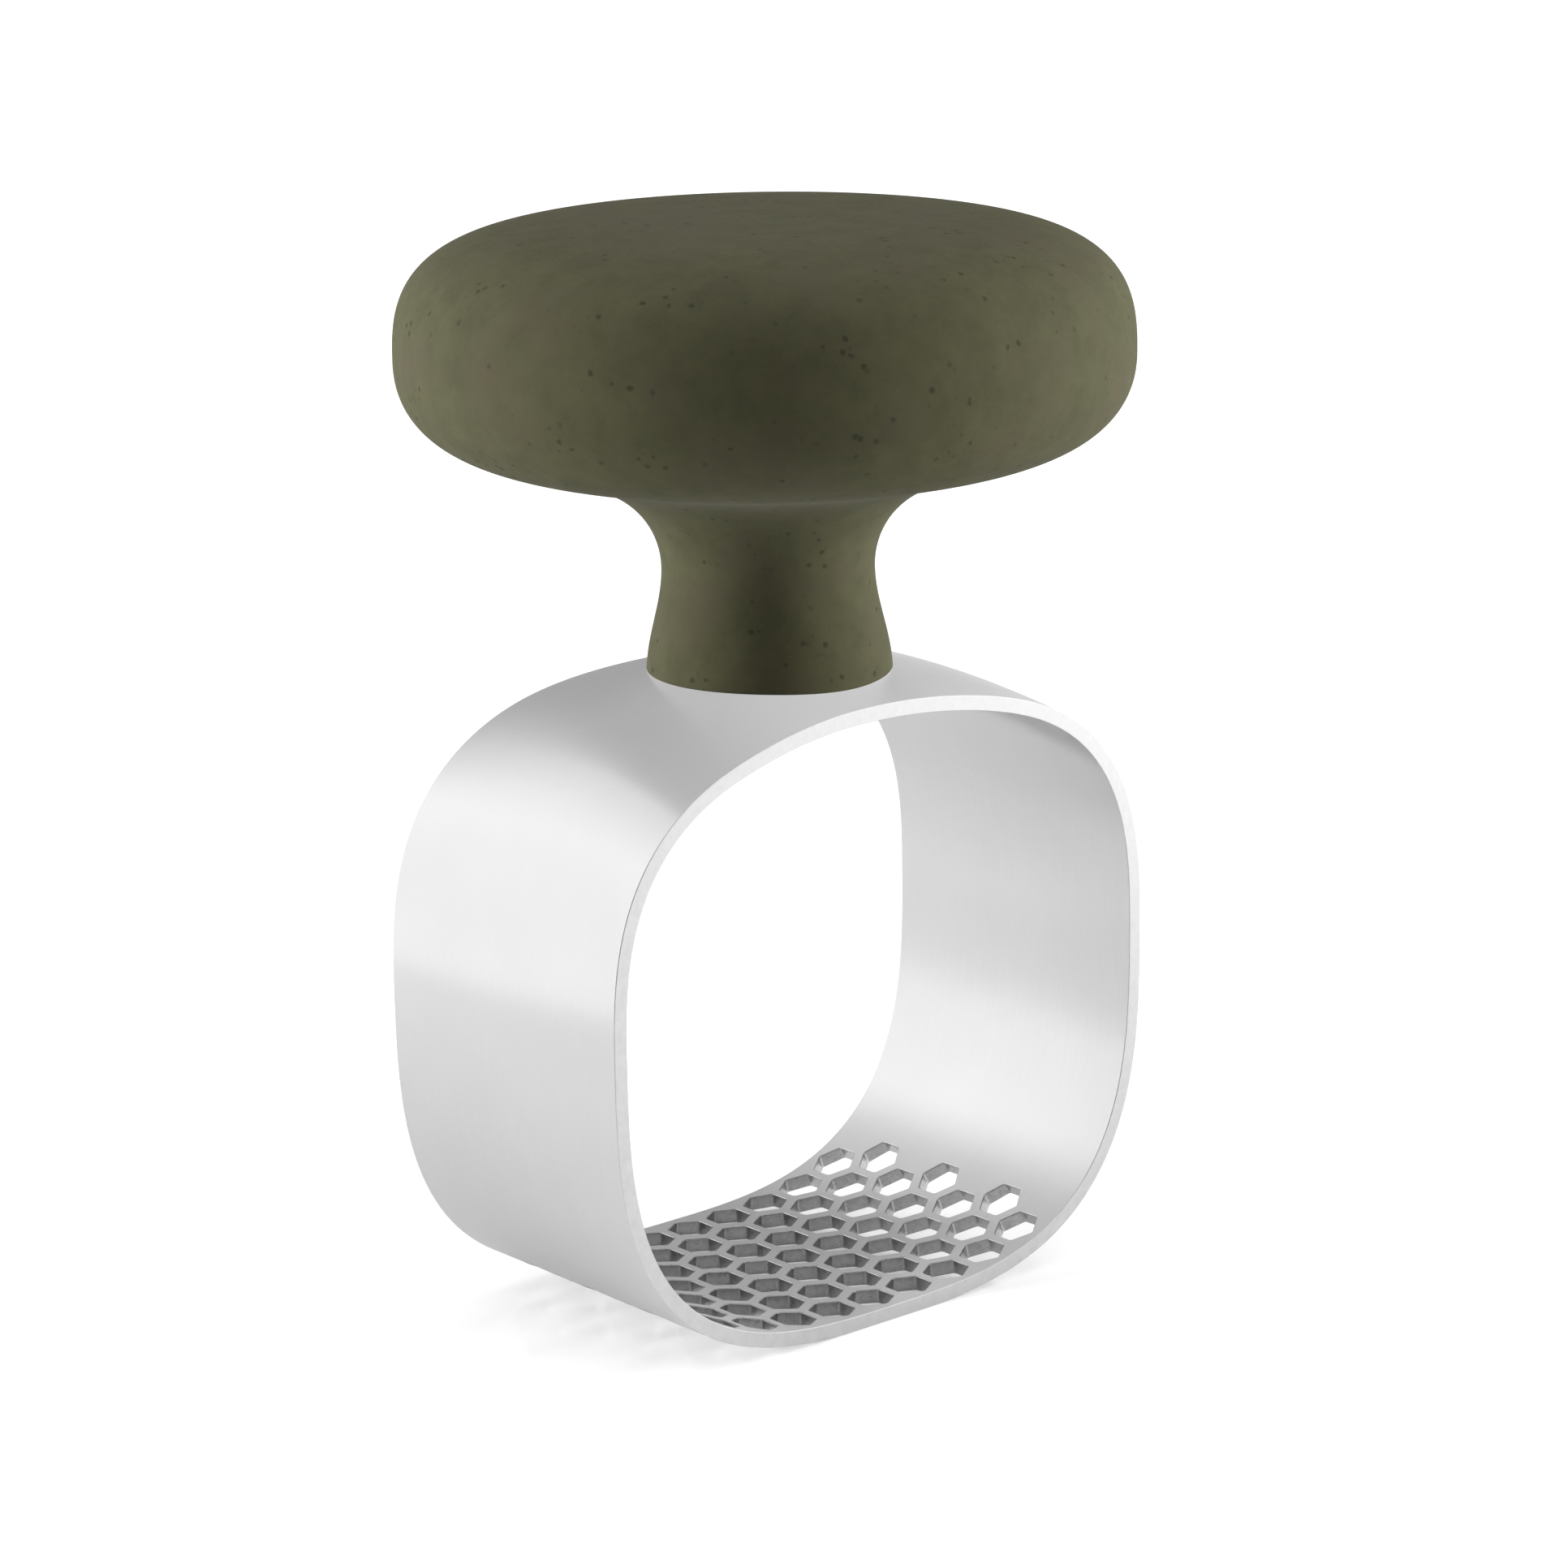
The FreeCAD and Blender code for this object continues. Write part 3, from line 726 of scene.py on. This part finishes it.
def screw_body(name, x, material):
    """Button-head screw with a hexagon socket underneath and a turned thread inside the neck."""
    bearing = SEAL_BOTTOM
    top = SCREW_HIGH[2]
    bottom = bearing - HEAD_HEIGHT
    rings = [socket_ring(x, 0.0, bottom + SOCKET_DEPTH),
             socket_ring(x, 0.0, bottom + HEAD_EDGE),
             socket_ring(x, HEAD_EDGE, bottom)]
    flat_radius = HEAD_FLAT_SHARE * HEAD_RADIUS
    for index in range(HEAD_STEPS + 1):
        angle = 0.5 * math.pi * index / HEAD_STEPS
        radius = flat_radius + (HEAD_RADIUS - flat_radius) * math.sin(angle)
        rings.append(screw_ring(x, radius, bottom + HEAD_DOME_SHARE * HEAD_HEIGHT * (1 - math.cos(angle))))
    rings.append(screw_ring(x, HEAD_RADIUS, bearing - HEAD_EDGE))
    rings.append(screw_ring(x, HEAD_RADIUS - HEAD_EDGE, bearing))
    rings.append(screw_ring(x, SCREW_RADIUS, bearing))
    crest = SCREW_RADIUS - THREAD_CREST_GAP
    for index in range(int((top - bearing - THREAD_RUN_OUT) / THREAD_PITCH)):
        height = bearing + THREAD_START + index * THREAD_PITCH
        rings.append(screw_ring(x, crest, height))
        rings.append(screw_ring(x, crest - THREAD_DEPTH, height + THREAD_PITCH / 2))
    rings.append(screw_ring(x, crest, top - SCREW_CHAMFER))
    rings.append(screw_ring(x, SCREW_RADIUS - SCREW_CHAMFER, top))
    return body_from_rings(name, rings, material, SHARP_SCREW_ANGLE)


def washer_body(name, x, material):
    """Soft washer whose upper face has taken the dome's shape."""
    soft = WASHER_EDGE_ROUNDING
    profile = (                                 # radius, is it on the upper face, distance in from that face
        (SCREW_RADIUS, False, 0.0),
        (WASHER_RADIUS - soft, False, 0.0),
        (WASHER_RADIUS, False, soft),
        (WASHER_RADIUS, True, soft),
        (WASHER_RADIUS - soft, True, 0.0),
        (SCREW_RADIUS, True, 0.0))
    rings = []
    for radius, on_dome, inset in profile:
        ring = []
        for index in range(WASHER_STEPS):
            turn = 2 * math.pi * index / WASHER_STEPS
            place_x = x + radius * math.cos(turn)
            place_y = radius * math.sin(turn)
            under_dome = crown_height(place_x, place_y) - SHEET - inset
            ring.append((place_x, place_y, under_dome if on_dome else SEAL_BOTTOM + inset))
        rings.append(ring)
    return body_from_rings(name, rings, material, SHARP_WASHER_ANGLE, hollow=True)


# ---- Materials -----------------------------------------------------------------------------------
class Nodes:
    """Short way to add nodes to a tree. An input is a fixed value or another node's output."""

    def __init__(self, tree):
        self.tree = tree

    def put(self, socket, value):
        if isinstance(value, bpy.types.NodeSocket):
            self.tree.links.new(value, socket)
        else:
            socket.default_value = value

    def new(self, kind, settings=None, **inputs):
        """Node with the given settings. Its inputs are given by name, with _ for a space."""
        node = self.tree.nodes.new(kind)
        for key, value in (settings or {}).items():
            setattr(node, key, value)
        for key, value in inputs.items():
            self.put(node.inputs[key.replace("_", " ")], value)
        return node

    def place(self):
        """Position on the object, in metres."""
        return self.new("ShaderNodeTexCoord").outputs["Object"]

    def split(self, vector):
        """The vector's X, Y and Z."""
        return self.new("ShaderNodeSeparateXYZ", Vector=vector).outputs

    def noise(self, place, scale, detail, roughness=0.5):
        node = self.new("ShaderNodeTexNoise", Vector=place, Scale=scale, Detail=detail, Roughness=roughness)
        return node.outputs["Fac"]

    def maths(self, operation, first, second):
        node = self.new("ShaderNodeMath", {"operation": operation})
        self.put(node.inputs[0], first)
        self.put(node.inputs[1], second)
        return node.outputs[0]

    def vector_maths(self, operation, first, second=None):
        """The results Vector and Value. Second is a vector, or the factor of SCALE."""
        node = self.new("ShaderNodeVectorMath", {"operation": operation})
        self.put(node.inputs[0], first)
        if second is not None:
            self.put(node.inputs["Scale" if operation == "SCALE" else 1], second)
        return node.outputs

    def ramp(self, factor, stops):
        """Colours that follow a factor. A stop is (factor, colour)."""
        node = self.new("ShaderNodeValToRGB", Fac=factor)
        elements = node.color_ramp.elements
        while len(elements) < len(stops):
            elements.new(0.5)
        for element, (place, colour) in zip(elements, stops):
            element.position = place
            element.color = colour
        return node.outputs["Color"]

    def map_range(self, value, start, end, before, after, interpolation="LINEAR"):
        """Goes from before to after while the value goes from start to end."""
        node = self.new("ShaderNodeMapRange", {"interpolation_type": interpolation}, Value=value,
                        From_Min=start, From_Max=end, To_Min=before, To_Max=after)
        return node.outputs["Result"]

    def span(self, value, low, high):
        """Turns a value from 0 to 1 into one from low to high."""
        return self.map_range(value, 0.0, 1.0, low, high)

    def mix(self, factor, first, second, blend_type="MIX"):
        """Mix of two colours."""
        node = self.new("ShaderNodeMix", {"data_type": "RGBA", "blend_type": blend_type})
        self.put(node.inputs[0], factor)
        self.put(node.inputs[6], first)
        self.put(node.inputs[7], second)
        return node.outputs[2]

    def blend(self, share, first, second):
        """First value, giving way to the second as the share goes from 0 to 1."""
        node = self.new("ShaderNodeMix")
        self.put(node.inputs[0], share)
        self.put(node.inputs[2], first)
        self.put(node.inputs[3], second)
        return node.outputs[0]


class MaterialNodes(Nodes):
    """The same for a new material with one shader."""

    def __init__(self, name):
        self.material = bpy.data.materials.new(name)
        self.material.use_nodes = True
        super().__init__(self.material.node_tree)
        self.shader = self.tree.nodes["Principled BSDF"]

    def shade(self, **inputs):
        """Sets or links the shader's own inputs, named as in new."""
        for key, value in inputs.items():
            self.put(self.shader.inputs[key.replace("_", " ")], value)

    def bump(self, height, distance, strength):
        node = self.new("ShaderNodeBump", Height=height, Distance=distance, Strength=strength)
        self.shade(Normal=node.outputs["Normal"])


def grey(value):
    """Colour with three equal parts."""
    return (value, value, value, 1.0)


def brushed_steel():
    """Sheet steel brushed along the strip, so the grain runs round the loop and gloss spreads across it."""
    nodes = MaterialNodes("brushed_steel_sheet")
    place = nodes.place()
    split = nodes.split(place)
    height = nodes.maths("SUBTRACT", split["Z"], WIDEST_HEIGHT)
    flat = nodes.new("ShaderNodeCombineXYZ", X=split["X"], Z=height).outputs[0]
    turned = nodes.split(nodes.vector_maths("NORMALIZE", flat)["Vector"])
    grain_place = nodes.new("ShaderNodeCombineXYZ",
                            X=nodes.maths("MULTIPLY", turned["X"], GRAIN_ALONG),
                            Y=nodes.maths("MULTIPLY", split["Y"], GRAIN_ACROSS),
                            Z=nodes.maths("MULTIPLY", turned["Z"], GRAIN_ALONG)).outputs[0]
    grain = nodes.noise(grain_place, 1.0, detail=4.0, roughness=0.65)
    cloud = nodes.noise(place, 70.0, detail=3.0, roughness=0.55)
    tone = nodes.ramp(grain, [(0.25, grey(0.685)), (0.75, grey(0.73))])
    clouding = nodes.ramp(cloud, [(0.3, grey(0.97)), (0.7, grey(1.0))])
    tangent = nodes.new("ShaderNodeTangent", {"direction_type": "RADIAL", "axis": "Y"}).outputs[0]
    nodes.shade(Base_Color=nodes.mix(1.0, tone, clouding, "MULTIPLY"),
                Roughness=nodes.span(grain, 0.33, 0.39),
                Metallic=1.0,
                Anisotropic=0.95,
                Anisotropic_Rotation=0.25,
                Tangent=tangent)
    nodes.bump(grain, distance=0.01 * MM, strength=0.12)
    return nodes.material


def fine_grained(name, scale, detail, fineness, contrast, tones, roughness, metallic, relief, strength):
    """Grey material whose tone, roughness and bump all follow one fine noise."""
    nodes = MaterialNodes(name)
    marks = nodes.noise(nodes.place(), scale, detail, fineness)
    tone = nodes.ramp(marks, [(contrast[0], grey(tones[0])), (contrast[1], grey(tones[1]))])
    nodes.shade(Base_Color=tone, Roughness=nodes.span(marks, *roughness), Metallic=metallic)
    nodes.bump(marks, relief, strength)
    return nodes.material


def linished_rim():
    """Cut edges of the strip, ground smooth across their thickness."""
    return fine_grained("linished_rim", scale=900.0, detail=3.0, fineness=0.6, contrast=(0.3, 0.7),
                        tones=(0.60, 0.66), roughness=(0.34, 0.46), metallic=1.0,
                        relief=0.02 * MM, strength=0.3)


def punched_steel():
    """Sheared walls of the holes: greyer than the sheet, with fine marks."""
    return fine_grained("punched_steel", scale=1600.0, detail=3.0, fineness=0.6, contrast=(0.35, 0.65),
                        tones=(0.42, 0.52), roughness=(0.22, 0.36), metallic=1.0,
                        relief=0.02 * MM, strength=0.25)


def moulded_core():
    """Dark grey structural moulding, hidden inside the handle."""
    return fine_grained("moulded_core", scale=700.0, detail=3.0, fineness=0.5, contrast=(0.3, 0.7),
                        tones=(0.035, 0.050), roughness=(0.45, 0.60), metallic=0.0,
                        relief=0.05 * MM, strength=0.3)


def black_silicone():
    """Soft matt washers."""
    return fine_grained("black_silicone", scale=1800.0, detail=2.0, fineness=0.5, contrast=(0.3, 0.7),
                        tones=(0.018, 0.028), roughness=(0.55, 0.75), metallic=0.0,
                        relief=0.03 * MM, strength=0.3)


def turned_metal(name, roughness, dull, bright):
    """Small turned metal piece, with fine rings up its height in two colours."""
    nodes = MaterialNodes(name)
    height = nodes.split(nodes.place())["Z"]
    level = nodes.maths("MULTIPLY", height, TURNING_RINGS)
    rings = nodes.noise(nodes.new("ShaderNodeCombineXYZ", Z=level).outputs[0], 1.0, detail=2.0)
    nodes.shade(Base_Color=nodes.ramp(rings, [(0.3, dull), (0.7, bright)]),
                Roughness=nodes.span(rings, *roughness),
                Metallic=1.0)
    nodes.bump(rings, distance=0.01 * MM, strength=0.3)
    return nodes.material


def speckled_olive():
    """Matt olive moulding with a faint mottle, warmer patches and small dark flecks."""
    nodes = MaterialNodes("speckled_olive_moulding")
    place = nodes.place()
    mottle = nodes.noise(place, 260.0, detail=6.0, roughness=0.72)
    base = nodes.ramp(mottle, [(0.34, OLIVE_DARK), (0.66, OLIVE_LIGHT)])
    warm = nodes.noise(place, 95.0, detail=3.0, roughness=0.6)
    warmth = nodes.ramp(warm, [(0.50, grey(0.0)), (0.68, grey(0.6))])
    base = nodes.mix(warmth, base, OLIVE_WARM)

    wander = nodes.new("ShaderNodeTexNoise", Vector=place, Scale=1300.0, Detail=2.0).outputs["Color"]
    shift = nodes.vector_maths("SCALE", wander, FLECK_RAGGEDNESS)["Vector"]
    ragged = nodes.vector_maths("ADD", place, shift)["Vector"]
    cells = nodes.new("ShaderNodeTexVoronoi", {"feature": "F1"}, Vector=ragged, Scale=640.0, Randomness=1.0)
    speck = nodes.ramp(cells.outputs["Distance"], [(0.14, grey(1.0)), (0.26, grey(0.0))])
    sparse = nodes.noise(place, 210.0, detail=1.0)
    chosen = nodes.ramp(sparse, [(0.53, grey(0.0)), (0.62, grey(0.65))])
    flecks = nodes.mix(1.0, speck, chosen, "MULTIPLY")

    fine = nodes.noise(place, 1500.0, detail=2.0, roughness=0.6)
    nodes.shade(Base_Color=nodes.mix(flecks, base, FLECK_COLOUR),
                Roughness=nodes.span(fine, 0.62, 0.76),
                Specular_IOR_Level=0.08)
    nodes.bump(fine, distance=0.04 * MM, strength=0.3)
    return nodes.material


def white_floor():
    """White satin table that fades out at its edge and is clear from below."""
    nodes = MaterialNodes("white_table")
    place = nodes.place()
    cloud = nodes.noise(place, 9.0, detail=2.0)
    tone = nodes.ramp(cloud, [(0.3, grey(FLOOR_CLOUD * FLOOR_WHITENESS)), (0.7, grey(FLOOR_WHITENESS))])
    seen = nodes.new("ShaderNodeLightPath").outputs["Is Camera Ray"]
    reach = nodes.vector_maths("LENGTH", place)["Value"]
    fade = nodes.map_range(reach, FLOOR_RADIUS - FLOOR_FADE, FLOOR_RADIUS, 1.0, 0.0, "SMOOTHSTEP")
    from_below = nodes.new("ShaderNodeNewGeometry").outputs["Backfacing"]
    from_above = nodes.maths("SUBTRACT", 1.0, from_below)
    nodes.shade(Base_Color=tone,
                Roughness=0.12,
                Specular_IOR_Level=0.5,
                Emission_Color=grey(1.0),
                Emission_Strength=nodes.maths("MULTIPLY", seen, FLOOR_GLOW),
                Alpha=nodes.maths("MULTIPLY", fade, from_above))
    return nodes.material


# ---- Camera, light and floor ---------------------------------------------------------------------
def add_camera():
    """Camera aimed a little beside and above the loop's centre, and rolled about its own axis."""
    back = Vector((math.sin(CAMERA_AZIMUTH) * math.cos(CAMERA_ELEVATION),
                   -math.cos(CAMERA_AZIMUTH) * math.cos(CAMERA_ELEVATION),
                   math.sin(CAMERA_ELEVATION)))
    upright = Vector((0, 0, 1))
    right = (-back).cross(upright).normalized()
    up = right.cross(-back)
    place = LOOP_CENTRE + back * CAMERA_DISTANCE
    aim = LOOP_CENTRE + right * AIM_RIGHT + up * AIM_UP
    forward = (aim - place).normalized()
    right = forward.cross(upright).normalized()
    up = right.cross(forward)
    rolled_right = math.cos(CAMERA_ROLL) * right + math.sin(CAMERA_ROLL) * up
    rolled_up = math.cos(CAMERA_ROLL) * up - math.sin(CAMERA_ROLL) * right
    axes = Matrix((rolled_right, rolled_up, -forward)).transposed()
    data = bpy.data.cameras.new("camera")
    data.lens = CAMERA_LENS
    data.sensor_width = CAMERA_SENSOR
    data.clip_start = 0.02
    data.clip_end = 50.0
    camera = add_object("camera", data)
    camera.matrix_world = Matrix.Translation(place) @ axes.to_4x4()
    bpy.context.scene.camera = camera


def add_studio():
    """Bright walls beside the press, a fainter one behind it, a dark room in front and a soft ceiling."""
    world = bpy.data.worlds.new("studio")
    world.use_nodes = True
    nodes = Nodes(world.node_tree)
    direction = nodes.new("ShaderNodeTexCoord").outputs["Generated"]
    level = nodes.vector_maths("MULTIPLY", direction, (1, 1, 0))["Vector"]
    heading = nodes.vector_maths("NORMALIZE", level)["Vector"]
    cosine = nodes.vector_maths("DOT_PRODUCT", heading, TOWARDS_CAMERA)["Value"]
    brightest = max(strength for _, strength in WALL_LIGHTS)
    stops = [((wall_cosine + 1.0) / 2, grey(strength / brightest)) for wall_cosine, strength in WALL_LIGHTS]
    walls = nodes.ramp(nodes.map_range(cosine, -1.0, 1.0, 0.0, 1.0), stops)
    wall_light = nodes.span(walls, 0.0, brightest)
    elevation_sine = nodes.split(direction)["Z"]
    overhead = nodes.map_range(elevation_sine, CEILING_START, CEILING_END, 0.0, 1.0)
    room = nodes.blend(overhead, wall_light, CEILING_LIGHT)
    seen = nodes.new("ShaderNodeLightPath").outputs["Is Camera Ray"]
    background = nodes.tree.nodes["Background"]
    nodes.put(background.inputs["Color"], grey(1.0))
    nodes.put(background.inputs["Strength"], nodes.blend(seen, room, BACKDROP_LIGHT))
    bpy.context.scene.world = world
    view = bpy.context.scene.view_settings
    view.view_transform = "Standard"
    view.look = "None"


def add_side_lamps():
    """Two soft lamps level with the knob, square to the view. They shape the knob and leave no glare."""
    across = TOWARDS_CAMERA.normalized().cross(Vector((0, 0, 1)))
    for side, name in ((-1, "left"), (1, "right")):
        data = bpy.data.lights.new("side_lamp_" + name, "AREA")
        data.shape = "DISK"
        data.size = LAMP_SIZE
        data.energy = LAMP_POWER
        lamp = add_object("side_lamp_" + name, data)
        lamp.location = LAMP_TARGET + across * side * LAMP_DISTANCE
        lamp.rotation_euler = (-across * side).to_track_quat("-Z", "Y").to_euler()
        lamp.visible_glossy = False
        lamp.visible_camera = False


def add_painted_reflection_handle(skin):
    """Glowing copy of the handle, no lamp, that paints a light grey reflection into the steel in place of the
    dark handle's. Only glossy rays see it.
    """
    nodes = MaterialNodes("painted_reflection_handle")
    nodes.material.cycles.emission_sampling = "NONE"
    height = nodes.split(nodes.place())["Z"]
    # painted shade in the reflection: the glow fades from the neck up to the knob's widest level
    glow = nodes.map_range(height, waist_height(), KNOB_WIDEST_HEIGHT, PAINTED_REFLECTION_NECK, PAINTED_REFLECTION_KNOB)
    nodes.shade(Base_Color=grey(0.0),
                Specular_IOR_Level=0.0,
                Emission_Color=grey(1.0),
                Emission_Strength=glow)
    mirrored = add_object("painted_reflection_handle", skin.data.copy())
    mirrored.data.materials[0] = nodes.material
    mirrored.visible_camera = False
    mirrored.visible_diffuse = False
    mirrored.visible_transmission = False
    mirrored.visible_shadow = False


def add_floor(material):
    """Round table top: rings of faces about the press, all facing up."""
    parts = MeshParts()
    rings = []
    for number in range(1, FLOOR_RINGS + 1):
        radius = FLOOR_RADIUS * number / FLOOR_RINGS
        ring = []
        for index in range(FLOOR_STEPS):
            turn = 2 * math.pi * index / FLOOR_STEPS
            point = Vector((radius * math.cos(turn), radius * math.sin(turn), -FLOOR_GAP))
            ring.append(parts.add(point, Vector((0, 0, 1))))
        rings.append(ring)
    for inner, outer in zip(rings, rings[1:]):
        parts.quad_strip(outer, inner, closed=True)
    parts.faces.append(tuple(rings[0]))
    parts.build("floor", material, closed=False)


# ---- Scene ---------------------------------------------------------------------------------------
def dress(node, material):
    """Gives a kept CAD node its material."""
    for slot in frame["nodes"][node].material_slots:
        slot.material = material


def stand_for(piece, node):
    """Puts a built piece in the place of a CAD node."""
    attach(piece, "root")
    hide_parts(node)


def leave_out_of_reflections():
    """The steel mirrors the studio and the glowing copy of the handle, a painted reflection, not the dark
    handle or what it is held by.
    """
    left_out = ("handle_skin", "core_", "threaded_inserts", "band_screw", "sealing_washer")
    for piece in bpy.data.objects:
        if piece.name.startswith(left_out):
            piece.visible_glossy = False


def main():
    steel = brushed_steel()
    olive = speckled_olive()
    screw_steel = turned_metal("turned_steel", (0.16, 0.28), grey(0.50), grey(0.62))
    brass = turned_metal("turned_brass", (0.22, 0.34), BRASS_DULL, BRASS_BRIGHT)
    core = moulded_core()
    silicone = black_silicone()
    add_camera()
    add_studio()
    add_side_lamps()
    add_floor(white_floor())
    stand_for(Band().build(punched_steel(), steel, linished_rim()), "press_band")
    skin = handle_skin(olive)
    stand_for(skin, "grip_skin")
    add_painted_reflection_handle(skin)
    for side, name in ((-1, "left"), (1, "right")):
        stand_for(screw_body("band_screw_" + name, side * SCREW_X, screw_steel), "band_screws")
        stand_for(washer_body("sealing_washer_" + name, side * SCREW_X, silicone),
                  "sealing_washers")
    dress("core_lower", core)
    dress("core_upper", core)
    dress("threaded_inserts", brass)
    leave_out_of_reflections()


main()
